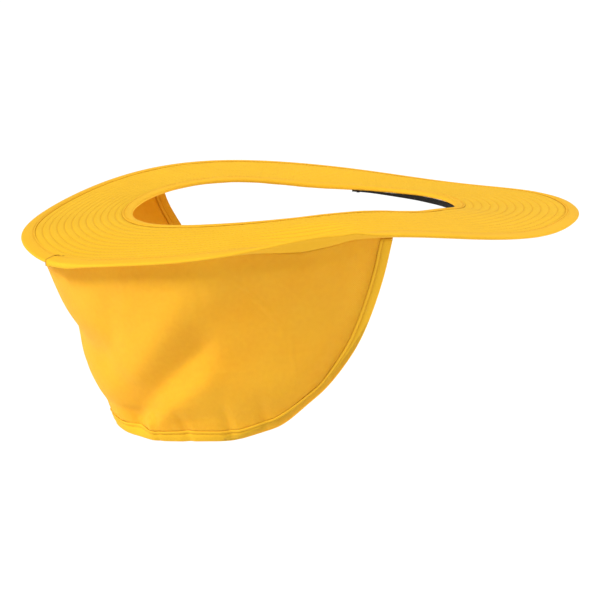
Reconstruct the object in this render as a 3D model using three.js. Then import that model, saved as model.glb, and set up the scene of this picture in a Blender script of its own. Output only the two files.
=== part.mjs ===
// Slip-on sun shade for a hard hat: a stiffened oval brim with an opening for the hat's shell,
// and a cotton neck shade sewn under its rear half. Millimetres; +X is the wearer's front,
// +Y the wearer's left and +Z up. The origin is the centre of the head opening.
import * as THREE from "three";

// Head opening and brim, measured across the finished edges.
const OPENING_LENGTH = 256;
const OPENING_WIDTH = 195;
const OPENING_OFFSET = -3.1;
const BRIM_LENGTH = 443.4;
const BRIM_WIDTH = 341.4;
const BRIM_OFFSET = 4.8;

// The saddle that the brim takes: how far each edge rises at the sides and dips at front and
// rear, how it tilts up to the front, and how its shoulders fill out towards the rear.
const OPENING_HEIGHT = 6.5;
const OPENING_SADDLE = 4.6;
const OPENING_TILT = -1.3;
const OPENING_SHOULDER = 1.1;
const BRIM_SADDLE = 10.7;
const BRIM_TILT = 0.8;
const BRIM_SHOULDER = 3.1;
const BRIM_CROWN = 3.2;

// Cloth, interlining and the clearances between sewn layers.
const COTTON = 0.5;
const INTERLINING = 1.4;
const LAYER_GAP = 0.3;
const EDGE_BINDING_WIDTH = 10.5;
const EDGE_BINDING_OVERLAP_DEG = 8;
const OPENING_BINDING_WIDTH = 8;
const THREAD = 0.7;
const STITCH_ROWS = 11;
const STITCH_SETBACK = 1.2;

// Elastic that grips the hat, sewn under the front of the opening.
const ELASTIC_HEIGHT = 4.5;
const ELASTIC_THICKNESS = 1.2;
const ELASTIC_SETBACK = 1.5;
const ELASTIC_HALF_ANGLE = 50;
const TACK_LENGTH = 2.4;
const TACK_THICKNESS = 0.8;

// Neck shade: where its seam runs, where it ends on each side, how far it hangs and tapers in.
const SEAM_INSET = EDGE_BINDING_WIDTH + 2;
const SEAM_CLEARANCE = 0.7;
const SHADE_END_RIGHT = 90;
const SHADE_END_LEFT = 107;
const SHADE_DROP = 149;
const SHADE_CORNER_DROP = 14;
const SHADE_CLOTH = 0.8;
const SHADE_REAR_TAPER = 61;
const SHADE_SIDE_TAPER = 64;
const SHADE_EDGE_POWER = 9;
const SHADE_EDGE_ROUNDING = 0.5;
const SHADE_BINDING_WIDTH = 9;
const SHADE_BINDING_GAP = 0.5;

// Facets: steps round the brim, sides of a thread, and steps along and down each half of the
// shade. The binding of the free edge is pieced at the two lower corners, HEM_CORNER_STEP from
// the centre of the rear.
const AROUND = 40;
const THREAD_SIDES = 3;
const HALF_STEPS = 18;
const HEM_CORNER_STEP = 8;
const SHADE_ROWS = 6;

const YELLOW = 0xf0b323;
const SHADED_YELLOW = 0xe09a2a;
const BINDING_YELLOW = 0xf6bd35;
const THREAD_YELLOW = 0xd99e1c;
const WHITE = 0xe9e6dc;
const BLACK = 0x1d1c1a;

const group = new THREE.Group();

function addPiece(name, geometry, color, roughness) {
  const material = new THREE.MeshStandardMaterial({ color, roughness, metalness: 0 });
  const mesh = new THREE.Mesh(geometry, material);
  mesh.name = name;
  group.add(mesh);
}

// Moves every vertex of a geometry to place(vertex, uv), then turns it right side out.
function reshape(geometry, place) {
  const position = geometry.getAttribute("position");
  const uv = geometry.getAttribute("uv");
  const vertex = new THREE.Vector3();
  const surface = new THREE.Vector2();
  for (let i = 0; i < position.count; i++) {
    vertex.fromBufferAttribute(position, i);
    surface.fromBufferAttribute(uv, i);
    const moved = place(vertex, surface);
    position.setXYZ(i, moved.x, moved.y, moved.z);
  }
  const flat = geometry.index ? geometry.toNonIndexed() : geometry;
  const corners = flat.getAttribute("position");
  const a = new THREE.Vector3();
  const b = new THREE.Vector3();
  const c = new THREE.Vector3();
  let volume = 0;
  for (let i = 0; i < corners.count; i += 3) {
    a.fromBufferAttribute(corners, i);
    b.fromBufferAttribute(corners, i + 1);
    c.fromBufferAttribute(corners, i + 2);
    volume += a.dot(b.cross(c));
  }
  for (let i = 0; volume < 0 && i < corners.count; i += 3) {
    b.fromBufferAttribute(corners, i + 1);
    c.fromBufferAttribute(corners, i + 2);
    corners.setXYZ(i + 1, c.x, c.y, c.z);
    corners.setXYZ(i + 2, b.x, b.y, b.z);
  }
  flat.computeVertexNormals();
  return flat;
}

// The finished edge of the opening at angle t, counted from the front towards the left.
function openingEdge(t) {
  const height =
    OPENING_HEIGHT +
    OPENING_TILT * Math.cos(t) -
    OPENING_SADDLE * Math.cos(2 * t) +
    OPENING_SHOULDER * Math.cos(3 * t);
  return new THREE.Vector3(
    OPENING_OFFSET + (OPENING_LENGTH / 2) * Math.cos(t),
    (OPENING_WIDTH / 2) * Math.sin(t),
    height,
  );
}

// The finished outer edge of the brim at angle t.
function brimEdge(t) {
  const height =
    BRIM_TILT * Math.cos(t) -
    BRIM_SADDLE * Math.cos(2 * t) +
    BRIM_SHOULDER * Math.cos(3 * t) +
    BRIM_CROWN * Math.cos(4 * t);
  return new THREE.Vector3(
    BRIM_OFFSET + (BRIM_LENGTH / 2) * Math.cos(t),
    (BRIM_WIDTH / 2) * Math.sin(t),
    height,
  );
}

// A point in the brim: a lane is a distance from the opening plus a share of the brim's width,
// and height is counted up from the middle of the interlining.
function brimPoint(t, lane, height) {
  const inner = openingEdge(t);
  const across = brimEdge(t).sub(inner);
  const width = Math.hypot(across.x, across.y);
  const point = inner.addScaledVector(across, (lane.distance + lane.share * width) / width);
  point.z += height;
  return point;
}

function fromOpening(distance) {
  return { distance, share: 0 };
}

function fromBrimEdge(distance) {
  return { distance: -distance, share: 1 };
}

function between(a, b, fraction) {
  return {
    distance: THREE.MathUtils.lerp(a.distance, b.distance, fraction),
    share: THREE.MathUtils.lerp(a.share, b.share, fraction),
  };
}

// A closed ring round the brim from a section listed outer side first, over the top and back.
function brimRing(section) {
  const torus = new THREE.TorusGeometry(1, 0.3, section.length, AROUND);
  return reshape(torus, (vertex, uv) => {
    const step = Math.round(uv.x * AROUND) % AROUND;
    const corner = section[Math.round(uv.y * section.length) % section.length];
    return brimPoint((step / AROUND) * 2 * Math.PI, corner.lane, corner.height);
  });
}

// An open strip: an outline extruded through the given number of steps and laid by place(x, y, s).
function strip(outline, steps, place) {
  const shape = new THREE.Shape(outline.map(([x, y]) => new THREE.Vector2(x, y)));
  const extruded = new THREE.ExtrudeGeometry(shape, { steps, depth: 1, bevelEnabled: false });
  return reshape(extruded, (vertex) => place(vertex.x, vertex.y, vertex.z));
}

// Layer heights, from the interlining outwards.
const interliningFace = INTERLINING / 2;
const coverInside = interliningFace + LAYER_GAP;
const coverFace = coverInside + COTTON;
const bindingInside = coverFace + LAYER_GAP;
const bindingFace = bindingInside + COTTON;

// The lanes that the stitch rows follow, from the opening's binding to the edge binding.
const plyInnerLane = fromOpening(COTTON + LAYER_GAP);
const plyOuterLane = fromBrimEdge(COTTON + LAYER_GAP);
const firstLane = fromOpening(OPENING_BINDING_WIDTH);
const lastLane = fromBrimEdge(EDGE_BINDING_WIDTH);
const rowLanes = [];
for (let row = 1; row <= STITCH_ROWS; row++) {
  rowLanes.push(between(firstLane, lastLane, row / (STITCH_ROWS + 1)));
}

// A ply of the brim: every lane is a line of vertices, so plies and stitches lie parallel.
function brimPly(bottom, top) {
  const lanes = [plyInnerLane, firstLane, ...rowLanes, lastLane, plyOuterLane];
  const over = lanes.map((lane) => ({ lane, height: top })).reverse();
  const under = lanes.map((lane) => ({ lane, height: bottom }));
  return brimRing([...over, ...under]);
}

function threadRing(lane, seat) {
  const radius = THREAD / 2;
  const section = [];
  for (let side = 0; side < THREAD_SIDES; side++) {
    const turn = ((side + 0.25) / THREAD_SIDES) * 2 * Math.PI;
    section.push({
      lane: { distance: lane.distance + radius * Math.cos(turn), share: lane.share },
      height: seat + LAYER_GAP + radius + radius * Math.sin(turn),
    });
  }
  return brimRing(section);
}

addPiece("brim_interlining", brimPly(-interliningFace, interliningFace), WHITE, 0.8);
addPiece("brim_top_cover", brimPly(coverInside, coverFace), YELLOW, 0.9);
addPiece("brim_under_cover", brimPly(-coverFace, -coverInside), SHADED_YELLOW, 0.9);
rowLanes.forEach((lane, index) => {
  const name = `brim_stitch_row_${String(index + 1).padStart(2, "0")}`;
  addPiece(name, threadRing(lane, coverFace), THREAD_YELLOW, 0.7);
});

// Binding folded round the opening's raw edges.
const openingBindingSection = [
  { lane: fromOpening(OPENING_BINDING_WIDTH - LAYER_GAP), height: bindingInside },
  { lane: fromOpening(OPENING_BINDING_WIDTH - LAYER_GAP), height: bindingFace },
  { lane: fromOpening(0), height: bindingFace },
  { lane: fromOpening(0), height: -bindingFace },
  { lane: fromOpening(OPENING_BINDING_WIDTH - LAYER_GAP), height: -bindingFace },
  { lane: fromOpening(OPENING_BINDING_WIDTH - LAYER_GAP), height: -bindingInside },
  { lane: fromOpening(COTTON), height: -bindingInside },
  { lane: fromOpening(COTTON), height: bindingInside },
];
addPiece("opening_binding", brimRing(openingBindingSection), BINDING_YELLOW, 0.9);
const openingStitchLane = fromOpening(OPENING_BINDING_WIDTH - STITCH_SETBACK);
addPiece("opening_binding_stitch", threadRing(openingStitchLane, bindingFace), THREAD_YELLOW, 0.7);

// Binding folded round the brim's outer edge: one strip that starts two steps to the right of
// the centre of the rear, runs round by the left, and swells at its end to lie over its start.
const bindingSwell = COTTON + LAYER_GAP;
const bindingOutline = [
  [EDGE_BINDING_WIDTH - LAYER_GAP, bindingFace],
  [0, bindingFace],
  [0, -bindingFace],
  [EDGE_BINDING_WIDTH - LAYER_GAP, -bindingFace],
  [EDGE_BINDING_WIDTH - LAYER_GAP, -bindingInside],
  [COTTON, -bindingInside],
  [COTTON, bindingInside],
  [EDGE_BINDING_WIDTH - LAYER_GAP, bindingInside],
];
const edgeBinding = strip(bindingOutline, AROUND + 1, (x, y, s) => {
  const step = Math.round(s * (AROUND + 1));
  const wholeSteps = Math.min(step, AROUND);
  const overlap = step > AROUND ? THREE.MathUtils.degToRad(EDGE_BINDING_OVERLAP_DEG) : 0;
  const t = ((AROUND / 2 + 2 - wholeSteps) / AROUND) * 2 * Math.PI - overlap;
  const swell = step >= AROUND ? bindingSwell : 0;
  const inset = x < 1 ? x - swell : x;
  return brimPoint(t, fromBrimEdge(inset), y + Math.sign(y) * swell);
});
addPiece("edge_binding", edgeBinding, BINDING_YELLOW, 0.9);
const edgeStitchLane = fromBrimEdge(EDGE_BINDING_WIDTH - STITCH_SETBACK);
const edgeStitchSeat = bindingFace + bindingSwell;
addPiece("edge_binding_stitch", threadRing(edgeStitchLane, edgeStitchSeat), THREAD_YELLOW, 0.7);

// Elastic under the front of the opening, and the tacks that hold its two ends.
const elasticTop = -bindingFace - LAYER_GAP;
const elasticAngle = THREE.MathUtils.degToRad(ELASTIC_HALF_ANGLE);
function elasticPoint(distance, height, angle) {
  return brimPoint(angle, fromOpening(distance), height);
}
const elasticOutline = [
  [ELASTIC_SETBACK, elasticTop],
  [ELASTIC_SETBACK, elasticTop - ELASTIC_HEIGHT],
  [ELASTIC_SETBACK + ELASTIC_THICKNESS, elasticTop - ELASTIC_HEIGHT],
  [ELASTIC_SETBACK + ELASTIC_THICKNESS, elasticTop],
];
const elasticSteps = Math.round((2 * elasticAngle) / ((2 * Math.PI) / AROUND));
const elastic = strip(elasticOutline, elasticSteps, (x, y, s) =>
  elasticPoint(x, y, THREE.MathUtils.lerp(-elasticAngle, elasticAngle, s)),
);
addPiece("front_elastic", elastic, BLACK, 0.85);
const tackInside = ELASTIC_SETBACK + ELASTIC_THICKNESS + LAYER_GAP;
const tackOutline = [
  [tackInside, elasticTop],
  [tackInside, elasticTop - ELASTIC_HEIGHT],
  [tackInside + TACK_THICKNESS, elasticTop - ELASTIC_HEIGHT],
  [tackInside + TACK_THICKNESS, elasticTop],
];
const tackAngle = TACK_LENGTH / (OPENING_LENGTH / 2);
for (const [side, sign] of [["left", 1], ["right", -1]]) {
  const start = sign * (elasticAngle - 2 * tackAngle);
  const tack = strip(tackOutline, 1, (x, y, s) => elasticPoint(x, y, start + sign * tackAngle * s));
  addPiece(`elastic_tack_${side}`, tack, BLACK, 0.7);
}

// Angle round the brim of a place on the neck shade: along runs from -1 at the right front
// corner, through 0 at the centre of the rear, to 1 at the left front corner.
function shadeAngle(along) {
  const end = along < 0 ? SHADE_END_RIGHT : SHADE_END_LEFT;
  return Math.PI - along * THREE.MathUtils.degToRad(180 - end);
}

// How far the shade hangs below its seam.
function shadeDrop(along) {
  const body = (1 - Math.min(1, Math.abs(along)) ** SHADE_EDGE_POWER) ** SHADE_EDGE_ROUNDING;
  return SHADE_CORNER_DROP + (SHADE_DROP - SHADE_CORNER_DROP) * body;
}

// Middle surface of the shade: below the seam it tapers in towards the neck.
function shadeSurface(along, depth) {
  const seamHeight = -coverFace - SEAM_CLEARANCE;
  const seam = brimPoint(shadeAngle(along), fromBrimEdge(SEAM_INSET), seamHeight);
  const share = depth / SHADE_DROP;
  const rearScale = 1 - (share * SHADE_REAR_TAPER) / (BRIM_LENGTH / 2 - SEAM_INSET);
  const sideScale = 1 - (share * SHADE_SIDE_TAPER) / (BRIM_WIDTH / 2 - SEAM_INSET);
  return new THREE.Vector3(
    BRIM_OFFSET + (seam.x - BRIM_OFFSET) * rearScale,
    seam.y * sideScale,
    seam.z - depth,
  );
}

// The two directions of the surface at a place, and the normal that points away from the neck.
function shadeFrame(along, depth) {
  const step = 1e-3;
  const here = shadeSurface(along, depth);
  const alongWay = shadeSurface(along + step, depth).sub(here).divideScalar(step);
  const downWay = shadeSurface(along, depth + step).sub(here).divideScalar(step);
  const normal = new THREE.Vector3().crossVectors(alongWay, downWay).normalize();
  if (normal.x * (here.x - BRIM_OFFSET) + normal.y * here.y < 0) normal.negate();
  return { here, alongWay, downWay, normal };
}

function shadePoint(along, depth, out) {
  const { here, normal } = shadeFrame(along, depth);
  return here.addScaledVector(normal, out);
}

// The free edge in numbered steps: 0 is the centre of the rear and HALF_STEPS a front corner,
// with the steps closer together near the corners. One step further is the corner's seam end.
function edgePlace(step) {
  const past = Math.max(0, Math.abs(step) - HALF_STEPS);
  const whole = THREE.MathUtils.clamp(step, -HALF_STEPS, HALF_STEPS);
  const along = Math.sin(((whole / HALF_STEPS) * Math.PI) / 2);
  return { along, depth: THREE.MathUtils.lerp(shadeDrop(along), SEAM_CLEARANCE, past) };
}

// A place on the surface, set in from the free edge at right angles to it.
function insetPlace(step, inset) {
  const { along, depth } = edgePlace(step);
  const { alongWay, downWay } = shadeFrame(along, depth);
  if (Math.abs(step) >= HALF_STEPS) {
    return { along: along - (Math.sign(step) * inset) / alongWay.length(), depth };
  }
  const reach = 1e-3;
  const slope = (shadeDrop(along + reach) - shadeDrop(along - reach)) / (2 * reach);
  const edgeAlong = alongWay.length();
  const edgeDown = slope * downWay.length();
  const length = Math.hypot(edgeAlong, edgeDown);
  return {
    along: along + (inset * edgeDown) / length / alongWay.length(),
    depth: depth - (inset * edgeAlong) / length / downWay.length(),
  };
}

const clothInset = COTTON + SHADE_BINDING_GAP;
const cloth = new THREE.BoxGeometry(2, 1, SHADE_CLOTH, 2 * HALF_STEPS, SHADE_ROWS, 1);
const neckShade = reshape(cloth, ({ x, y, z }) => {
  const hem = insetPlace(Math.round(x * HALF_STEPS), clothInset);
  return shadePoint(hem.along, (0.5 - y) * hem.depth, z);
});
addPiece("neck_shade", neckShade, YELLOW, 0.9);

// A strip laid along the free edge between two steps; the outline counts in from the edge and
// out from the surface.
function hemStrip(outline, first, last) {
  return strip(outline, Math.ceil(Math.abs(last - first)), (x, y, s) => {
    const place = insetPlace(THREE.MathUtils.lerp(first, last, s), x);
    return shadePoint(place.along, place.depth, y);
  });
}

const shadeBindingInside = SHADE_CLOTH / 2 + SHADE_BINDING_GAP;
const shadeBindingFace = shadeBindingInside + COTTON;
const shadeBindingOutline = [
  [SHADE_BINDING_WIDTH, shadeBindingFace],
  [0, shadeBindingFace],
  [0, -shadeBindingFace],
  [SHADE_BINDING_WIDTH, -shadeBindingFace],
  [SHADE_BINDING_WIDTH, -shadeBindingInside],
  [COTTON, -shadeBindingInside],
  [COTTON, shadeBindingInside],
  [SHADE_BINDING_WIDTH, shadeBindingInside],
];
const threadRadius = THREAD / 2;
const hemStitchSeat = shadeBindingFace + LAYER_GAP;
const hemStitchInset = SHADE_BINDING_WIDTH - STITCH_SETBACK;
const hemStitchOutline = [
  [hemStitchInset - threadRadius, hemStitchSeat],
  [hemStitchInset + threadRadius, hemStitchSeat],
  [hemStitchInset, hemStitchSeat + THREAD],
];
const hemLengths = {
  right: [-HALF_STEPS - 1, -HEM_CORNER_STEP],
  rear: [-HEM_CORNER_STEP, HEM_CORNER_STEP],
  left: [HEM_CORNER_STEP, HALF_STEPS + 1],
};
for (const [side, [first, last]] of Object.entries(hemLengths)) {
  const binding = hemStrip(shadeBindingOutline, first, last);
  addPiece(`shade_binding_${side}`, binding, BINDING_YELLOW, 0.9);
  const stitch = hemStrip(hemStitchOutline, first, last);
  addPiece(`shade_binding_stitch_${side}`, stitch, THREAD_YELLOW, 0.7);
}

export default group;
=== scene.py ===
import math

import bmesh
import bpy
import numpy as np
from mathutils import Matrix, Vector, noise


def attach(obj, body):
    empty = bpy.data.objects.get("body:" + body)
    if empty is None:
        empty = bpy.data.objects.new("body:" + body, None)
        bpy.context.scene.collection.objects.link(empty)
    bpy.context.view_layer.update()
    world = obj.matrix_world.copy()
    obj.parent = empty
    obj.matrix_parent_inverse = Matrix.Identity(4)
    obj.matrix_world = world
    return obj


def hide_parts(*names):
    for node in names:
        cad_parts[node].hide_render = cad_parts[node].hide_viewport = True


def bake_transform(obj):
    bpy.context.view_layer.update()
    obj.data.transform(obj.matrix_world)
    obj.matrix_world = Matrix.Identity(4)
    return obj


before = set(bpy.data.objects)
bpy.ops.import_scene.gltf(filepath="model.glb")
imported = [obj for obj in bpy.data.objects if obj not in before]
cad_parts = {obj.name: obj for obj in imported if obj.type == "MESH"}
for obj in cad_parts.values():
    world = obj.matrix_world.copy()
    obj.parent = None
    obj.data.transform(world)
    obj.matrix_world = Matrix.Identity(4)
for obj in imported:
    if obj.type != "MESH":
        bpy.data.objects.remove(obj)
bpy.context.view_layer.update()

# Studio. A long lens, a pale surround and two soft lamps: the key above and behind the
# viewer's left shoulder, and a wider, weaker fill on the right.
lens_mm = 155.3
camera_distance = 2.005
camera_azimuth = math.radians(-24)
camera_elevation = math.radians(12)
camera_roll = math.radians(0.2)
camera_target = Vector((0.001, 0, -0.0689))
lamps = (
    ("key", (-3.0, -0.95, 2.5), 16, 3.3),
    ("fill", (3.0, -0.8, 0.8), 30, 2.3),
)


def aimed(eye, target, roll=0.0):
    turn = (Vector(target) - Vector(eye)).to_track_quat("-Z", "Y").to_matrix().to_4x4()
    return Matrix.Translation(eye) @ turn @ Matrix.Rotation(roll, 4, "Z")


back = Vector((
    math.sin(camera_azimuth) * math.cos(camera_elevation),
    -math.cos(camera_azimuth) * math.cos(camera_elevation),
    math.sin(camera_elevation),
))
camera = bpy.data.objects.new("camera", bpy.data.cameras.new("camera"))
bpy.context.scene.collection.objects.link(camera)
camera.data.lens = lens_mm
camera.matrix_world = aimed(camera_target + camera_distance * back, camera_target, camera_roll)
bpy.context.scene.camera = camera

for lamp_name, place, softness, strength in lamps:
    lamp = bpy.data.lights.new(lamp_name, "SUN")
    lamp.angle = math.radians(softness)
    lamp.energy = strength
    lamp_object = bpy.data.objects.new(lamp_name, lamp)
    bpy.context.scene.collection.objects.link(lamp_object)
    lamp_object.matrix_world = aimed(place, (0, 0, -0.05))

world = bpy.data.worlds.new("surround")
world.use_nodes = True
world.node_tree.nodes["Background"].inputs["Color"].default_value = (1, 1, 1, 1)
world.node_tree.nodes["Background"].inputs["Strength"].default_value = 0.3
bpy.context.scene.world = world
bpy.context.scene.view_settings.view_transform = "Standard"


# Floor. A wide pale sheet laid well below the shade, with a faint grain. Dye holds the nodes
# of one material and Wire one socket, so that shader sums can be written as sums.
floor_height = -0.62
floor_size = 26


class Wire:
    def __init__(self, dye, socket):
        self.dye = dye
        self.socket = socket

    def sum(self, operation, first, second=None):
        return self.dye.node("Math", {"operation": operation}, {0: first, 1: second})

    def __add__(self, other):
        return self.sum("ADD", self, other)

    def __radd__(self, other):
        return self.sum("ADD", other, self)

    def __sub__(self, other):
        return self.sum("SUBTRACT", self, other)

    def __rsub__(self, other):
        return self.sum("SUBTRACT", other, self)

    def __mul__(self, other):
        return self.sum("MULTIPLY", self, other)

    def __rmul__(self, other):
        return self.sum("MULTIPLY", other, self)

    def sine(self):
        return self.sum("SINE", self)

    def fraction(self):
        return self.sum("FRACT", self)

    def size(self):
        return self.sum("ABSOLUTE", self)

    def least(self, other):
        return self.sum("MINIMUM", self, other)

    def most(self, other):
        return self.sum("MAXIMUM", self, other)


class Dye:
    def __init__(self, name, **finish):
        self.material = bpy.data.materials.new(name)
        self.material.use_nodes = True
        self.tree = self.material.node_tree
        self.shader = self.tree.nodes["Principled BSDF"]
        for socket, value in finish.items():
            self.shader.inputs[socket.replace("_", " ")].default_value = value

    def node(self, kind, settings=None, sockets=None, output=0):
        made = self.tree.nodes.new("ShaderNode" + kind)
        for name, value in (settings or {}).items():
            setattr(made, name, value)
        for key, value in (sockets or {}).items():
            if isinstance(value, Wire):
                self.tree.links.new(value.socket, made.inputs[key])
            elif value is not None:
                made.inputs[key].default_value = value
        return Wire(self, made.outputs[output])

    def feed(self, socket, wire):
        self.tree.links.new(wire.socket, self.shader.inputs[socket])

    def along_and_across(self):
        uv = self.node("UVMap", {"uv_map": "cloth"})
        split = self.node("SeparateXYZ", None, {0: uv})
        return uv, split, Wire(self, split.socket.node.outputs[1])

    def mottle(self, vector, scale, detail=3.0):
        return self.node("TexNoise", None, {"Vector": vector, "Scale": scale, "Detail": detail})

    def mix(self, factor, first, second):
        return self.node(
            "Mix", {"data_type": "RGBA"}, {0: factor, 6: (*first, 1), 7: (*second, 1)}, 2
        )

    def shade(self, wire, colour, amount):
        return self.node(
            "Mix",
            {"data_type": "RGBA", "blend_type": "MULTIPLY"},
            {0: amount, 6: wire, 7: (*colour, 1)},
            2,
        )

    def bump(self, height, distance, strength=1.0, under=None):
        sockets = {"Height": height, "Distance": distance, "Strength": strength, "Normal": under}
        return self.node("Bump", None, sockets)


backdrop = Dye("pale_backdrop", Base_Color=(0.97, 0.97, 0.97, 1), Roughness=0.9)
floor_grain = backdrop.mottle(backdrop.node("TexCoord", None, None, 3), 3.0)
backdrop.feed("Roughness", 0.82 + 0.12 * floor_grain)
floor_bm = bmesh.new()
bmesh.ops.create_grid(floor_bm, x_segments=8, y_segments=8, size=floor_size / 2)
bmesh.ops.translate(floor_bm, verts=floor_bm.verts, vec=(0, 0, floor_height))
floor_mesh = bpy.data.meshes.new("floor")
floor_bm.to_mesh(floor_mesh)
floor = bpy.data.objects.new("floor", floor_mesh)
bpy.context.scene.collection.objects.link(floor)
floor_mesh.materials.append(backdrop.material)

# Brim covers. Two cotton twill plies, cut as oval rings and quilted to the interlining by
# rows of stitches; the cloth stands a little proud between the rows.
mm = 0.001
opening_length, opening_width, opening_shift = 256 * mm, 195 * mm, -3.1 * mm
brim_length, brim_width, brim_shift = 443.4 * mm, 341.4 * mm, 4.8 * mm
opening_wave = (6.5 * mm, -1.3 * mm, -4.6 * mm, 1.1 * mm, 0)
brim_wave = (0, 0.8 * mm, -10.7 * mm, 3.1 * mm, 3.2 * mm)
cotton_thickness = 0.5 * mm
cover_inside = 1.0 * mm
cover_face = cover_inside + cotton_thickness
binding_face = cover_face + 0.8 * mm
opening_binding_width = 8 * mm
edge_binding_width = 10.5 * mm
stitch_rows = 11
channel_puff = 0.45 * mm
around = 300
# How this brim happens to lie: angle round it, spread and rise of each local bend of its
# outer edge and of its opening's edge.
edge_bends = (
    (-167, 18, -6.2 * mm),
    (-130, 20, -4.0 * mm),
    (-106, 9, 2.2 * mm),
    (-72, 26, -4.6 * mm),
    (-33, 16, 2.6 * mm),
    (56, 22, 2.8 * mm),
    (110, 24, 1.0 * mm),
)
opening_bends = (
    (-85, 24, 4.4 * mm),
    (-48, 14, 2.4 * mm),
    (64, 22, -4.0 * mm),
    (34, 12, -1.0 * mm),
)
curl_angle, curl_spread, curl_dip = -108, 10, 9.3 * mm
curl_root, curl_reach = 13 * mm, 34 * mm
pucker_angle, pucker_spread, pucker_rise = -99, 2.2, 1.4 * mm
pucker_reach = 20 * mm


def wave(t, heights):
    return sum(h * np.cos(k * t) for k, h in enumerate(heights))


def bell(t, centre, spread):
    away = (np.degrees(t) - centre + 180) % 360 - 180
    return np.exp(-((away / spread) ** 2))


def smooth(x):
    x = np.clip(x, 0, 1)
    return x * x * (3 - 2 * x)


def bent(t, bends):
    return sum(size * bell(t, centre, spread) for centre, spread, size in bends)


def brim_lie(t, inset, width):
    pucker = pucker_rise * bell(t, pucker_angle, pucker_spread)
    rise = bent(t, edge_bends) + pucker * smooth(1 - inset / pucker_reach)
    root = smooth(inset / curl_root) * smooth(1 - (inset - curl_root) / curl_reach)
    curl = curl_dip * bell(t, curl_angle, curl_spread) * root
    return rise * smooth(1 - inset / width) + bent(t, opening_bends) * smooth(inset / width) - curl


def brim_place(t, distance, share, height):
    """Points at angle t, a distance plus a share of the width out from the opening."""
    inner = np.stack([
        opening_shift + opening_length / 2 * np.cos(t),
        opening_width / 2 * np.sin(t),
        wave(t, opening_wave),
    ], -1)
    outer = np.stack([
        brim_shift + brim_length / 2 * np.cos(t),
        brim_width / 2 * np.sin(t),
        wave(t, brim_wave),
    ], -1)
    width = np.hypot(*(outer - inner)[..., :2].T).T
    out = distance + share * width
    point = inner + (outer - inner) * (out / width)[..., None]
    point[..., 2] += height + brim_lie(t, width - out, width)
    return point


def lane(fraction):
    """Distance and share of the lane at a fraction of the way between the two bindings."""
    near = opening_binding_width * (1 - fraction)
    return near - edge_binding_width * fraction, fraction


def piece_from(bm, name, material, body="brim"):
    mesh = bpy.data.meshes.new(name)
    bm.to_mesh(mesh)
    bm.free()
    made = bpy.data.objects.new(name, mesh)
    bpy.context.scene.collection.objects.link(made)
    mesh.materials.append(material)
    mesh.polygons.foreach_set("use_smooth", [True] * len(mesh.polygons))
    if body:
        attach(made, body)
    return made


def corners(bm):
    return np.array([v.co for v in bm.verts], float).reshape(-1, 3)


def move_to(bm, points):
    for vertex, point in zip(bm.verts, points):
        vertex.co = point


def write_uv(bm, along, across, turn=0.0):
    """Writes a cloth map in metres; a face that crosses the start of a ring is carried over."""
    layer = bm.loops.layers.uv.new("cloth")
    for face in bm.faces:
        us = [along[loop.vert.index] for loop in face.loops]
        over = turn and max(us) - min(us) > turn / 2
        for loop, u in zip(face.loops, us):
            carried = u + turn if over and u < turn / 2 else u
            loop[layer].uv = (carried, across[loop.vert.index])


def spun_ring(section, closed, steps=around):
    """A ring turned from a section of (out, up) points; returns it with angle, out and up."""
    bm = bmesh.new()
    verts = [bm.verts.new((1 + out, 0, up)) for out, up in section]
    edges = [bm.edges.new(pair) for pair in zip(verts, verts[1:])]
    if closed:
        edges.append(bm.edges.new((verts[-1], verts[0])))
    bmesh.ops.spin(
        bm, geom=verts + edges, cent=(0, 0, 0), axis=(0, 0, 1), angle=2 * math.pi,
        steps=steps, use_merge=True, use_duplicate=False,
    )
    bmesh.ops.remove_doubles(bm, verts=bm.verts, dist=1e-7)
    bm.verts.index_update()
    co = corners(bm)
    return bm, np.arctan2(co[:, 1], co[:, 0]), np.hypot(co[:, 0], co[:, 1]) - 1, co[:, 2]


def twill(dye, along, across, pitch, turn):
    """Height of a twill weave: steep diagonal ribs crossed by the single yarns."""
    ribs = (along * math.cos(turn) + across * math.sin(turn)) * (2 * math.pi / pitch)
    yarns = (across * math.cos(turn) - along * math.sin(turn)) * (2 * math.pi / (pitch * 0.62))
    return 0.5 + 0.34 * ribs.sine() + 0.16 * (yarns + 0.9 * ribs.sine()).sine()


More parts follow.
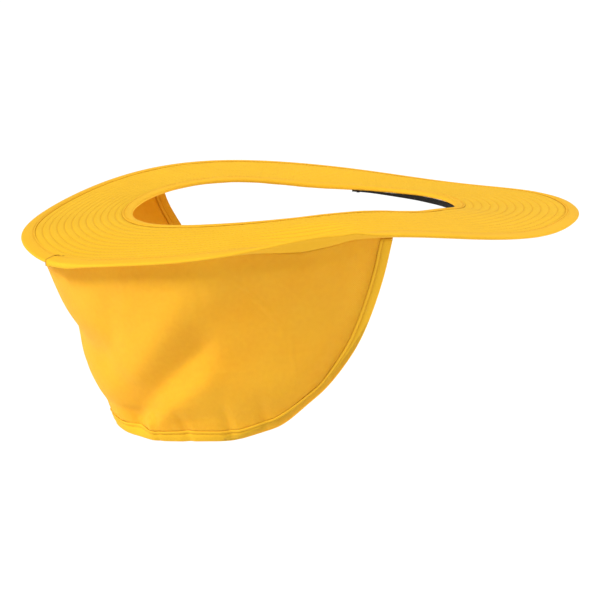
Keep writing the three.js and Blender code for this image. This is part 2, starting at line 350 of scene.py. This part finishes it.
def cotton(name, light, dark, bias=0.6, pitch=0.9 * mm, channels=False, glow=0.0, painted_fold_shadow=False):
    """Yellow cotton twill: matte, faintly fuzzy, with slub and uneven dye."""
    dye = Dye(name, Roughness=0.9, Sheen_Weight=0.06, Sheen_Roughness=0.45)
    dye.shader.inputs["Subsurface Weight"].default_value = glow
    dye.shader.inputs["Subsurface Radius"].default_value = (1.0, 0.6, 0.12)
    dye.shader.inputs["Subsurface Scale"].default_value = 3.5 * mm
    dye.shader.inputs["Sheen Tint"].default_value = (1, 0.86, 0.5, 1)
    dye.shader.inputs["Specular IOR Level"].default_value = 0.1
    uv, along, across = dye.along_and_across()
    weave = twill(dye, along, across, pitch, bias)
    slub = dye.mottle(uv, 260.0, 4.0)
    cloud = dye.mottle(uv, 14.0, 3.0)
    tone = (0.30 * weave + 0.35 * slub + 0.75 * cloud - 0.2).most(0.0).least(1.0)
    colour = dye.mix(tone, dark, light)
    relief = dye.bump(weave, 0.00012, 0.7)
    relief = dye.bump(slub, 0.00025, 0.5, relief)
    if channels:
        row = dye.node("Attribute", {"attribute_name": "channel"}, None, 2)
        away = ((row + 0.5).fraction() - 0.5).size()
        seam_line = (1 - away * 7.0).most(0.0)
        # The colour darkens towards each stitch row: partly painted shade in the stitched dip,
        # partly soil that gathers there.
        colour = dye.shade(colour, (0.80, 0.66, 0.42), seam_line * 0.4)
        pull = (along * (2 * math.pi / (3.0 * mm)) + 6.0 * slub).sine()
        relief = dye.bump(pull * seam_line, 0.00022, 0.8, relief)
        dye.feed("Roughness", 0.86 + 0.1 * slub - 0.08 * seam_line)
    else:
        dye.feed("Roughness", 0.84 + 0.12 * slub)
    # Painted shadow: this mark darkens the colour to stand for the shade under a turned-in end of
    # the strip.
    if painted_fold_shadow:
        shadow = dye.node("Attribute", {"attribute_name": "painted_fold_shadow"}, None, 2)
        colour = dye.shade(colour, (0.40, 0.25, 0.12), shadow * 0.8)
    dye.feed("Base Color", colour)
    dye.feed("Normal", relief)
    return dye.material


cover_cotton = cotton(
    "cover_cotton", (0.91, 0.53, 0.024), (0.80, 0.43, 0.016), channels=True
)
channel_steps = (0.0, 0.1, 0.25, 0.42, 0.58, 0.75, 0.9)


def brim_cover(name, side, node):
    section = [(-0.9, 0.0), (-0.45, 0.0)]
    for channel in range(stitch_rows + 1):
        for step in channel_steps:
            crown = math.sin(math.pi * step) ** 0.6 if step else 0.0
            section.append((channel + step, channel_puff * crown))
    section += [(stitch_rows + 1, 0.0), (stitch_rows + 1.45, 0.0), (stitch_rows + 1.9, 0.0)]
    bm, t, channel, puff = spun_ring(section, closed=False)
    share = np.clip(channel / (stitch_rows + 1), 0, 1)
    distance, share = lane(share)
    distance = distance + np.minimum(channel, 0) / 0.9 * (opening_binding_width - 2.4 * mm)
    distance = distance + np.maximum(channel - stitch_rows - 1, 0) / 0.9 * (
        edge_binding_width - 2.4 * mm
    )
    uneven = np.array([
        noise.noise(Vector((a * 9, b * 0.8, side * 4))) for a, b in zip(np.cos(t) * 3 + t, channel)
    ])
    height = side * (cover_face - cotton_thickness / 2 + puff * (1 + 0.5 * uneven))
    points = brim_place(t, distance, share, height)
    ring_length = math.pi * (brim_length + brim_width) / 2
    arc = (t % (2 * math.pi)) / (2 * math.pi) * ring_length
    move_to(bm, points)
    write_uv(bm, arc, distance + share * 80 * mm, ring_length)
    bmesh.ops.recalc_face_normals(bm, faces=bm.faces)
    marks = bm.verts.layers.float.new("channel")
    for vertex, value in zip(bm.verts, channel):
        vertex[marks] = value
    if sum(face.normal.z for face in bm.faces) * side < 0:
        bmesh.ops.reverse_faces(bm, faces=bm.faces)
    made = piece_from(bm, name, cover_cotton)
    wall = made.modifiers.new("ply", "SOLIDIFY")
    wall.thickness = cotton_thickness
    wall.offset = 0
    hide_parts(node)
    return made


top_cover = brim_cover("top_cover", 1, "brim_top_cover")
under_cover = brim_cover("under_cover", -1, "brim_under_cover")

# Interlining. The stiff non-woven ply that gives the brim its saddle shape, cut to the brim's
# outline and hidden between the two cotton covers.
interlining_half = 0.7 * mm
felt = Dye("interlining_felt", Base_Color=(0.8, 0.78, 0.72, 1), Roughness=0.95)
felt_place = felt.node("TexCoord", None, None, 3)
felt_fibre = felt.mottle(felt_place, 900.0, 5.0)
felt.feed("Base Color", felt.mix(felt_fibre, (0.72, 0.7, 0.64), (0.86, 0.84, 0.79)))
felt.feed("Normal", felt.bump(felt_fibre, 0.0003))
steps_out = [0.03 + 0.94 * k / 12 for k in range(13)]
section = [(out, interlining_half) for out in steps_out]
section += [(out, -interlining_half) for out in reversed(steps_out)]
bm, t, share, height = spun_ring(section, closed=True, steps=160)
move_to(bm, brim_place(t, 0, share, height))
bmesh.ops.recalc_face_normals(bm, faces=bm.faces)
interlining = piece_from(bm, "interlining_ply", felt.material)
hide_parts("brim_interlining")

# Quilting. Eleven rows of lockstitch run round the brim through all three plies; each stitch
# is a short length of golden polyester thread that sinks into the cloth at both ends.
stitch_length = 3.0 * mm
stitch_gap = 0.5 * mm
thread_radius = 0.26 * mm


def thread_finish(name, light, dark):
    dye = Dye(name, Roughness=0.5)
    dye.shader.inputs["Specular IOR Level"].default_value = 0.2
    place = dye.node("TexCoord", None, None, 3)
    ply = dye.node(
        "TexWave", {"wave_type": "BANDS", "bands_direction": "DIAGONAL"},
        {"Vector": place, "Scale": 900.0, "Distortion": 1.5}, 1,
    )
    dye.feed("Base Color", dye.mix(ply, dark, light))
    dye.feed("Roughness", 0.42 + 0.2 * ply)
    dye.feed("Normal", dye.bump(ply, 0.00005))
    return dye.material


golden_thread = thread_finish("golden_thread", (0.90, 0.50, 0.022), (0.78, 0.38, 0.014))


def even_angles(place, count, first=0.0, turn=2 * math.pi):
    """Angles that divide the line place(t) into equal lengths."""
    t = np.linspace(first, first + turn, 1441)
    run = np.r_[0, np.cumsum(np.linalg.norm(np.diff(place(t), axis=0), axis=1))]
    return np.interp(np.linspace(0, run[-1], count + 1), run, t), run[-1]


def stitch_line(name, line, out_way, up_way, first, turn, material, length=stitch_length):
    """Stitches laid end to end along line(t); out_way and up_way give the thread's round."""
    _, run = even_angles(line, 1, first, turn)
    count = max(2, round(run / (length + stitch_gap)))
    angles, _ = even_angles(line, count * 4, first, turn)
    bm = bmesh.new()
    bmesh.ops.create_uvsphere(bm, u_segments=6, v_segments=4, radius=1)
    bmesh.ops.rotate(bm, verts=bm.verts, matrix=Matrix.Rotation(math.pi / 2, 3, "Y"))
    share = length / (length + stitch_gap)
    bmesh.ops.scale(bm, verts=bm.verts, vec=(share / 2, 1, 1))
    bmesh.ops.translate(bm, verts=bm.verts, vec=(0.5, 0, 0))
    one = bm.verts[:] + bm.edges[:] + bm.faces[:]
    for index in range(1, count):
        copied = bmesh.ops.duplicate(bm, geom=one)["geom"]
        moved = [g for g in copied if isinstance(g, bmesh.types.BMVert)]
        bmesh.ops.translate(bm, verts=moved, vec=(index, 0, 0))
    co = corners(bm)
    t = np.interp(co[:, 0] * 4, np.arange(count * 4 + 1), angles)
    spread, rise = co[:, 1] * thread_radius * 1.15, co[:, 2] * thread_radius
    move_to(bm, line(t) + out_way(t) * spread[:, None] + up_way(t) * rise[:, None])
    bmesh.ops.recalc_face_normals(bm, faces=bm.faces)
    return piece_from(bm, name, material, body=None)


def brim_stitches(name, distance, share, height, node, first=0.0, turn=2 * math.pi):
    def line(t):
        return brim_place(t, np.full_like(t, distance), share, height)

    def out_way(t):
        away = brim_place(t, np.full_like(t, distance + mm), share, height) - line(t)
        return away / np.linalg.norm(away, axis=1)[:, None]

    def up_way(t):
        return np.tile((0.0, 0.0, 1.0), (len(t), 1))

    made = stitch_line(name, line, out_way, up_way, first, turn, golden_thread)
    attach(made, "brim")
    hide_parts(node)
    return made


for row in range(1, stitch_rows + 1):
    row_distance, row_share = lane(row / (stitch_rows + 1))
    brim_stitches(
        f"quilt_row_{row:02d}", row_distance, row_share, cover_face + 0.05 * mm,
        f"brim_stitch_row_{row:02d}", first=row * 0.7,
    )

# Opening binding. A bias strip of the same cotton, folded over the raw inner edges of the
# three plies and stitched down near its lower fold.
binding_light, binding_dark = (0.91, 0.51, 0.028), (0.80, 0.41, 0.018)
binding_bias = 1.35
binding_cotton = cotton("binding_cotton", binding_light, binding_dark, bias=binding_bias)


def folded_section(width, half, ply, edge_half, groove, dip, steps=6):
    """Closed section of a strip folded round an edge: (inset, height) points, fold at inset 0.
    It is thinner at the fold, and dips where it is stitched, groove in from its free edge."""
    arc = [math.pi / 2 - math.pi * k / steps for k in range(steps + 1)]
    thin = (edge_half + half) / 2
    top = [
        (width, half - 0.4 * ply), (width - 0.15 * mm, half),
        (width - groove * 0.5, half + 0.15 * ply), (width - groove + 0.35 * mm, half - dip * 0.6),
        (width - groove, half - dip), (width - groove - 0.35 * mm, half - dip * 0.6),
        (width - groove - 1.0 * mm, half + 0.1 * ply), (width * 0.45, half * 0.5 + thin * 0.5),
    ]
    outside = [(edge_half * (1 - math.cos(a)), edge_half * math.sin(a)) for a in arc]
    inner = edge_half - ply
    inside = [(edge_half - inner * math.cos(a), inner * math.sin(a)) for a in arc]
    low = [(x, -y) for x, y in reversed(top)]
    under_top = [(x, y - ply) for x, y in top]
    under_low = [(x, -y) for x, y in under_top]
    return top + outside + low + under_low + inside[::-1] + under_top[::-1]


def binding_uv(bm, t, inset, height, length):
    write_uv(bm, (t % (2 * math.pi)) / (2 * math.pi) * length, inset + height * 2, length)


opening_section = folded_section(
    opening_binding_width, binding_face, cotton_thickness, 1.7 * mm, 1.5 * mm, 0.25 * mm
)
bm, t, inset, height = spun_ring(opening_section, closed=True, steps=240)
binding_uv(bm, t, inset, height, math.pi * (opening_length + opening_width) / 2)
ease = np.array([noise.noise(Vector((math.cos(a) * 8, math.sin(a) * 8, 2))) for a in t])
move_to(bm, brim_place(t, inset, 0, height * (1 + 0.10 * ease)))
bmesh.ops.recalc_face_normals(bm, faces=bm.faces)
opening_binding = piece_from(bm, "opening_binding_strip", binding_cotton)
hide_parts("opening_binding")
brim_stitches(
    "opening_stitches", opening_binding_width - 1.5 * mm, 0,
    binding_face - 0.1 * mm, "opening_binding_stitch",
)

# Front elastic. A narrow black woven elastic, sewn edge-on under the front of the opening, so
# that it grips the hat; a bar tack of black thread holds each end.
elastic_height = 4.5 * mm
elastic_thickness = 1.2 * mm
elastic_setback = 1.5 * mm
elastic_half_angle = math.radians(50)
black_elastic = Dye("black_elastic", Roughness=0.7)
black_elastic.shader.inputs["Specular IOR Level"].default_value = 0.15
_, elastic_along, elastic_across = black_elastic.along_and_across()
ribs = (elastic_across * (2 * math.pi / (0.9 * mm))).sine()
picks = (elastic_along * (2 * math.pi / (0.7 * mm)) + 1.4 * ribs).sine()
knit = 0.5 + 0.3 * ribs + 0.2 * picks
black_elastic.feed(
    "Base Color", black_elastic.mix(knit, (0.003, 0.003, 0.003), (0.018, 0.017, 0.015))
)
black_elastic.feed("Roughness", 0.55 + 0.3 * knit)
black_elastic.feed("Normal", black_elastic.bump(knit, 0.0002))


def laid_strip(section, steps, place):
    """A closed section carried along a path: place(s, a, b) lays the points; ends are capped."""
    bm = bmesh.new()
    bmesh.ops.create_grid(bm, x_segments=steps, y_segments=len(section), size=1)
    co = corners(bm)
    s = (co[:, 0] + 1) / 2
    k = np.rint((co[:, 1] + 1) / 2 * len(section)).astype(int) % len(section)
    a, b = np.array(section, float)[k].T
    bm.verts.index_update()
    run = np.hypot(*np.diff(np.array(section + section[:1]), axis=0).T)
    girth = np.r_[0, np.cumsum(run)]
    turns = np.rint((co[:, 1] + 1) / 2 * len(section)).astype(int)
    path = place(np.linspace(0, 1, steps + 1), np.zeros(steps + 1), np.zeros(steps + 1))
    length = np.r_[0, np.cumsum(np.linalg.norm(np.diff(path, axis=0), axis=1))]
    write_uv(bm, np.interp(s, np.linspace(0, 1, steps + 1), length), girth[turns])
    move_to(bm, place(s, a, b))
    bmesh.ops.remove_doubles(bm, verts=bm.verts, dist=1e-7)
    bmesh.ops.holes_fill(bm, edges=[e for e in bm.edges if e.is_boundary], sides=0)
    bmesh.ops.recalc_face_normals(bm, faces=bm.faces)
    return bm


def band_section(inner, outer, low, high, round_off):
    """A flat band's section with its four edges rounded off."""
    r = round_off
    return [
        (inner + r, high), (outer - r, high), (outer, high - r), (outer, low + r),
        (outer - r, low), (inner + r, low), (inner, low + r), (inner, high - r),
    ]


elastic_top = -binding_face + 0.3 * mm


def under_opening(s, distance, height):
    angle = (2 * s - 1) * elastic_half_angle
    shown = 0.3 + 0.7 * smooth((elastic_half_angle - np.abs(angle)) / math.radians(40))
    return brim_place(angle, distance, 0, elastic_top + (height - elastic_top) * shown)


section = band_section(
    elastic_setback, elastic_setback + elastic_thickness,
    elastic_top - elastic_height, elastic_top, 0.3 * mm,
)
elastic = piece_from(
    laid_strip(section, 120, under_opening), "front_elastic_band", black_elastic.material
)
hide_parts("front_elastic")

black_thread = thread_finish("black_thread", (0.05, 0.05, 0.05), (0.01, 0.01, 0.01))
tack_inner = elastic_setback + elastic_thickness
for tack_side, tack_sign in (("left", 1), ("right", -1)):
    tack_bm = bmesh.new()
    for bar in range(6):
        made = bmesh.ops.create_cone(
            tack_bm, segments=6, radius1=0.22 * mm, radius2=0.22 * mm, depth=elastic_height * 0.42,
            cap_ends=True,
        )
        bmesh.ops.translate(tack_bm, verts=made["verts"], vec=(bar * 0.45 * mm, 0, 0))
    co = corners(tack_bm)
    angle = tack_sign * (elastic_half_angle - 0.045 + co[:, 0] / (opening_length / 2))
    middle = elastic_top - elastic_height * 0.22
    move_to(tack_bm, brim_place(angle, tack_inner + 0.2 * mm + co[:, 1], 0, middle + co[:, 2]))
    bmesh.ops.recalc_face_normals(tack_bm, faces=tack_bm.faces)
    tack = piece_from(tack_bm, f"elastic_bar_tack_{tack_side}", black_thread)
    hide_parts(f"elastic_tack_{tack_side}")

# Neck shade. One ply of cotton, cut to a shallow fan, sewn by its top edge under the brim
# from beside one temple round the back to the other, and hanging free below.
seam_inset = 12.5 * mm
seam_height = -(cover_face + 0.35 * mm)
shade_end_right, shade_end_left = math.radians(90), math.radians(107)
shade_drop = 149 * mm
corner_drop = 14 * mm
rear_taper, side_taper = 61 * mm, 64 * mm
edge_power, edge_rounding = 9, 0.5
shade_columns, shade_rows = 220, 44
left_swing = 15 * mm
# Where the free edge hangs higher or lower than it was cut: share along, spread and drop.
hem_sags = (
    (-0.08, 0.26, -9.5 * mm),
    (-0.60, 0.10, 4 * mm),
    (-0.83, 0.07, -7 * mm),
    (-0.98, 0.03, 6 * mm),
)
# Folds that the hanging cloth takes: from and to (share along, depth), half width and rise.
folds = (
    ((-0.50, 70 * mm), (-0.17, 124 * mm), 12 * mm, -7.0 * mm),
    ((-0.54, 26 * mm), (-0.30, 88 * mm), 16 * mm, 5.0 * mm),
    ((-0.53, 100 * mm), (-0.28, 132 * mm), 12 * mm, 4.0 * mm),
    ((-0.27, 20 * mm), (-0.20, 64 * mm), 11 * mm, -3.2 * mm),
    ((-0.12, 72 * mm), (0.26, 66 * mm), 15 * mm, -6.0 * mm),
    ((-0.12, 100 * mm), (0.30, 94 * mm), 15 * mm, 2.0 * mm),
    ((-0.62, 30 * mm), (-0.80, 62 * mm), 27 * mm, -4.5 * mm),
    ((-0.62, 104 * mm), (-0.77, 116 * mm), 15 * mm, 2.5 * mm),
    ((-0.40, 122 * mm), (-0.41, 146 * mm), 4.0 * mm, -1.7 * mm),
    ((-0.30, 124 * mm), (-0.28, 146 * mm), 3.5 * mm, -1.3 * mm),
    ((-0.555, 124 * mm), (-0.57, 146 * mm), 4.5 * mm, -1.9 * mm),
    ((-0.68, 120 * mm), (-0.69, 140 * mm), 4.5 * mm, -1.5 * mm),
    ((0.34, 30 * mm), (0.28, 140 * mm), 20 * mm, 4.0 * mm),
    ((0.55, 24 * mm), (0.50, 140 * mm), 16 * mm, -5.0 * mm),
    ((0.76, 20 * mm), (0.70, 110 * mm), 15 * mm, 4.0 * mm),
)
# Creases left by the packet: from and to (share along, depth).
crease_rise = 0.42 * mm
crease_width = 1.4 * mm
creases = (
    ((-0.62, 18 * mm), (-0.765, 65 * mm)),
    ((-0.765, 65 * mm), (-0.79, 112 * mm)),
    ((-0.50, 88 * mm), (-0.66, 94 * mm)),
    ((0.20, 40 * mm), (0.44, 96 * mm)),
    ((0.44, 96 * mm), (0.66, 60 * mm)),
)


def shade_angle(along):
    end = np.where(along < 0, shade_end_right, shade_end_left)
    return math.pi - along * (math.pi - end)


def free_depth(along):
    body = (1 - np.minimum(1, np.abs(along)) ** edge_power) ** edge_rounding
    sag = sum(drop * np.exp(-(((along - at) / spread) ** 2)) for at, spread, drop in hem_sags)
    return corner_drop + (shade_drop - corner_drop) * body + sag


def from_segment(along, depth, start, end):
    """How far a place on the shade is from a line across it, and how far along that line."""
    reach = 250 * mm
    p = np.stack([along * reach, depth], -1)
    a = np.array((start[0] * reach, start[1]))
    b = np.array((end[0] * reach, end[1]))
    share = np.clip(((p - a) @ (b - a)) / ((b - a) @ (b - a)), 0, 1)
    return np.linalg.norm(p - a - share[..., None] * (b - a), axis=-1), share


def flare(along, depth):
    """How far the left front edge swings forward of its taper, part way down."""
    swing = smooth((depth - 14 * mm) / (50 * mm)) * smooth((150 * mm - depth) / (90 * mm))
    return left_swing * swing * smooth((along - 0.72) / 0.28)


def hang(along, depth):
    """How far the cloth hangs off its plain taper."""
    total = np.zeros_like(along)
    for start, end, width, rise in folds:
        away, _ = from_segment(along, depth, start, end)
        total += rise * np.exp(-((away / width) ** 2))
    return total * smooth(depth / (40 * mm))


def shade_place(along, depth, out=0.0):
    seam = brim_place(shade_angle(along), -np.full_like(along, seam_inset), 1, seam_height)
    share = depth / shade_drop
    rear = 1 - share * rear_taper / (brim_length / 2 - seam_inset)
    side = 1 - share * side_taper / (brim_width / 2 - seam_inset)
    x = brim_shift + (seam[..., 0] - brim_shift) * rear
    y = seam[..., 1] * side
    away = np.stack([x - brim_shift, y * (brim_length / brim_width), 0 * x], -1)
    away /= np.linalg.norm(away, axis=-1)[..., None]
    point = np.stack([x + flare(along, depth), y, seam[..., 2] - depth], -1)
    return point + away * (hang(along, depth) + out)[..., None]


def shade_frame(along, depth):
    step = 1e-4
    here = shade_place(along, depth)
    on = (shade_place(along + step, depth) - here) / step
    down = (shade_place(along, depth + step) - here) / step
    normal = np.cross(on, down)
    normal /= np.linalg.norm(normal, axis=-1)[..., None]
    outward = normal[..., 0] * (here[..., 0] - brim_shift) + normal[..., 1] * here[..., 1]
    return here, on, down, normal * np.where(outward < 0, -1, 1)[..., None]


def edge_knot(step):
    """The free edge: step runs from -1 at the right corner to 1; beyond is up to the seam."""
    past = np.maximum(0, np.abs(step) - 1)
    along = np.sin(np.clip(step, -1, 1) * math.pi / 2)
    return along, free_depth(along) * (1 - past * 20)


def inset_knot(step, inset):
    along, depth = edge_knot(step)
    _, on, down, _ = shade_frame(along, depth)
    on_size, down_size = np.linalg.norm(on, axis=-1), np.linalg.norm(down, axis=-1)
    reach = 1e-3
    slope = (free_depth(along + reach) - free_depth(along - reach)) / (2 * reach)
    edge_down = slope * down_size
    length = np.hypot(on_size, edge_down)
    at_end = np.abs(step) >= 1
    add_along = np.where(at_end, -np.sign(step), edge_down / length) * inset / on_size
    add_down = np.where(at_end, 0, -on_size / length) * inset / down_size
    return along + add_along, depth + add_down


shade_bm = bmesh.new()
bmesh.ops.create_grid(shade_bm, x_segments=shade_columns, y_segments=shade_rows, size=1)
co = corners(shade_bm)
step, fall = co[:, 0], (1 - co[:, 1]) / 2
hem_along, hem_depth = inset_knot(step, np.full_like(step, 1.0 * mm))
shade_along, shade_depth = hem_along, fall * hem_depth
shade_bm.verts.index_update()
seam_run = 620 * mm
write_uv(shade_bm, shade_along * seam_run / 2, shade_depth)
move_to(shade_bm, shade_place(shade_along, shade_depth))
bmesh.ops.recalc_face_normals(shade_bm, faces=shade_bm.faces)
centre_face = min(shade_bm.faces, key=lambda f: f.calc_center_median().x)
if centre_face.normal.x > 0:
    bmesh.ops.reverse_faces(shade_bm, faces=shade_bm.faces)
shade_cotton = cotton(
    "shade_cotton", (0.91, 0.465, 0.034), (0.73, 0.29, 0.014), bias=0.75, glow=0.5
)
neck_shade = piece_from(shade_bm, "neck_shade_cloth", shade_cotton, body=None)
place_marks = {}
for mark, values in (("along", shade_along), ("depth", shade_depth), ("fall", fall)):
    place_marks[mark] = neck_shade.data.attributes.new(mark, "FLOAT", "POINT")
    place_marks[mark].data.foreach_set("value", values)

# The ply settles between its seam and its binding: a short cloth simulation of a sheet cut a
# little full, held at the seam and at the binding and only lightly in between.
fullness = 0.022
most_settled = 3.5 * mm
hold_width = 14 * mm
light_hold = 0.06


def settle(piece, held, loose):
    group = piece.vertex_groups.new(name="held")
    for index, weight in enumerate(held):
        group.add([index], float(weight), "REPLACE")
    cloth = piece.modifiers.new("cloth", "CLOTH")
    cloth.settings.quality = 6
    cloth.settings.mass = 0.2
    cloth.settings.tension_stiffness = 20
    cloth.settings.compression_stiffness = 20
    cloth.settings.shear_stiffness = 6
    cloth.settings.bending_stiffness = 0.35
    cloth.settings.vertex_group_mass = "held"
    cloth.settings.pin_stiffness = 1.0
    cloth.settings.shrink_min = -fullness
    cloth.collision_settings.use_collision = False
    scene = bpy.context.scene
    cloth.point_cache.frame_start, cloth.point_cache.frame_end = 1, 22
    for shot in range(1, 23):
        scene.frame_set(shot)
    graph = bpy.context.evaluated_depsgraph_get()
    settled = piece.evaluated_get(graph).to_mesh()
    points = np.zeros(len(settled.vertices) * 3)
    settled.vertices.foreach_get("co", points)
    piece.evaluated_get(graph).to_mesh_clear()
    piece.modifiers.remove(cloth)
    scene.frame_set(1)
    rest = np.zeros(len(points))
    piece.data.vertices.foreach_get("co", rest)
    moved = (points - rest).reshape(-1, 3)
    size = np.linalg.norm(moved, axis=1)
    moved *= (loose / (1 + size / most_settled))[:, None]
    piece.data.vertices.foreach_set("co", (rest.reshape(-1, 3) + moved).ravel())
    piece.vertex_groups.clear()
    piece.data.update()


to_hem = hem_depth - shade_depth
held = np.clip(1 - np.minimum(shade_depth / (5 * mm), to_hem / hold_width), 0, 1)
held = np.maximum(held, np.clip(1 - (1 - np.abs(step)) / 0.05, 0, 1))
rim_along, rim_depth = edge_knot(np.linspace(-1, 1, 400))
across = (shade_along[:, None] - rim_along) * seam_run / 2
to_rim = np.hypot(across, shade_depth[:, None] - rim_depth).min(1)
loose = smooth((to_rim - 12 * mm) / (22 * mm)) * smooth(shade_depth / (16 * mm))
settle(neck_shade, light_hold + (1 - light_hold) * smooth(held), loose)

finer = neck_shade.modifiers.new("finer", "SUBSURF")
finer.levels = finer.render_levels = 1
graph = bpy.context.evaluated_depsgraph_get()
fine_mesh = bpy.data.meshes.new_from_object(neck_shade.evaluated_get(graph))
neck_shade.modifiers.clear()
neck_shade.data = fine_mesh
fine_mesh.name = "neck_shade_cloth"
count = len(fine_mesh.vertices)
marks = {}
for mark in ("along", "depth", "fall"):
    marks[mark] = np.zeros(count)
    fine_mesh.attributes[mark].data.foreach_get("value", marks[mark])
points = np.zeros(count * 3)
normals = np.zeros(count * 3)
fine_mesh.vertices.foreach_get("co", points)
fine_mesh.vertices.foreach_get("normal", normals)
sharp = np.zeros(count)
for start, end in creases:
    away, share = from_segment(marks["along"], marks["depth"], start, end)
    ends = smooth(4 * share * (1 - share) + 0.2)
    sharp += crease_rise * np.exp(-((away / crease_width) ** 2)) * ends
gather = np.exp(-((1 - marks["fall"]) * shade_drop / (13 * mm)) ** 2)
gather *= np.sin(marks["along"] * 150 + 3 * np.sin(marks["along"] * 31))
sharp += 0.45 * mm * gather * smooth(1 - np.abs(marks["along"]) / 0.75)
moved = points.reshape(-1, 3) + normals.reshape(-1, 3) * sharp[:, None]
fine_mesh.vertices.foreach_set("co", moved.ravel())
fine_mesh.update()
ply = neck_shade.modifiers.new("ply", "SOLIDIFY")
ply.thickness = cotton_thickness
ply.offset = 0
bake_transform(neck_shade)
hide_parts("neck_shade")

# Binding of the free edge. A bias strip folded round the shade's raw edge and stitched down;
# it runs in one line from the right corner under the brim to the left one.
shade_binding_width = 10 * mm
shade_binding_half = 1.1 * mm


def hem_place(s, inset, out):
    step = (2 * s - 1) * 1.045
    along, depth = inset_knot(step, np.asarray(inset, float) * np.ones_like(step))
    here, _, _, normal = shade_frame(along, depth)
    twist = 3.2 * mm * np.exp(-(((step + 0.62) / 0.26) ** 2))
    out = out - twist * smooth(1 - inset / shade_binding_width)
    return here + normal * (out * np.ones_like(step))[..., None]


hem_groove = 2.7 * mm
hem_section = folded_section(
    shade_binding_width, shade_binding_half, cotton_thickness, 1.3 * mm, hem_groove, 0.6 * mm
)
hem = piece_from(
    laid_strip(hem_section, 260, hem_place), "shade_edge_binding", binding_cotton, body=None
)
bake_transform(hem)
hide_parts("shade_binding_right", "shade_binding_rear", "shade_binding_left")


def hem_line(t):
    return hem_place(t, shade_binding_width - hem_groove, shade_binding_half - 0.3 * mm)


def hem_out(t):
    away = hem_place(t, shade_binding_width - hem_groove - mm, shade_binding_half - 0.3 * mm)
    away = away - hem_line(t)
    return away / np.linalg.norm(away, axis=1)[:, None]


def hem_up(t):
    up = hem_place(t, shade_binding_width - hem_groove, shade_binding_half + 0.7 * mm)
    up = up - hem_line(t)
    return up / np.linalg.norm(up, axis=1)[:, None]


hem_stitches = stitch_line(
    "shade_edge_stitches", hem_line, hem_out, hem_up, 0.002, 0.996, golden_thread
)
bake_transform(hem_stitches)
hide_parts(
    "shade_binding_stitch_right", "shade_binding_stitch_rear",
    "shade_binding_stitch_left",
)

# Edge binding. The last strip on: folded round all the brim's plies and stitched through. It
# starts beside the centre of the rear, and its turned-in end is lapped over the start.
lap_start = math.radians(198)
lap_rise = 0.95 * mm


def edge_place(s, inset, height):
    turned = np.radians(np.interp(s, (0, 0.14, 0.82, 1), (0, 13, 351, 368)))
    corner = smooth((inset - 5.5 * mm) / (5 * mm)) * smooth(np.degrees(turned) / 6 - 60.33)
    turned = turned - math.radians(2.0) * corner
    lap = smooth((turned - math.radians(354)) / math.radians(7)) * lap_rise
    fold = 0.7 * mm * smooth((turned - math.radians(366.4)) / math.radians(0.7))
    under_fold = 1.1 * mm * np.exp(-(((turned - math.radians(7.6)) / math.radians(0.35)) ** 2))
    swell = lap + fold - under_fold
    outer = np.clip(1 - inset / (5 * mm), 0, 1)
    inset = inset - swell * outer
    return brim_place(lap_start - turned, -inset, 1, height + np.sign(height) * swell)


edge_section = folded_section(
    edge_binding_width, binding_face, cotton_thickness, 1.3 * mm, 1.6 * mm, 0.25 * mm
)
# This finish carries a painted shadow along the lapped end of the binding.
lapped_cotton = cotton(
    "lapped_binding_cotton", binding_light, binding_dark, bias=binding_bias, painted_fold_shadow=True
)
edge = piece_from(laid_strip(edge_section, 420, edge_place), "edge_binding_strip", lapped_cotton)
# Painted shadow: near the lapped end the binding's colour is darkened, standing for the shade
# under the fold.
end_inset = np.repeat(np.linspace(0, edge_binding_width, 30), 7)
end_height = np.tile(np.linspace(-binding_face, binding_face, 7), 30)
end_corners = edge_place(np.ones(210), end_inset, end_height)
places = np.array([v.co for v in edge.data.vertices])
from_end = np.linalg.norm(places[:, None] - end_corners, axis=2).min(1)
painted_shadow_mark = edge.data.attributes.new("painted_fold_shadow", "FLOAT", "POINT")
painted_shadow_mark.data.foreach_set("value", np.exp(-((from_end / (1.5 * mm)) ** 2)))
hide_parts("edge_binding")
brim_stitches(
    "edge_stitches", -(edge_binding_width - 1.6 * mm), 1, binding_face - 0.1 * mm,
    "edge_binding_stitch", first=math.radians(-162), turn=math.radians(356),
)
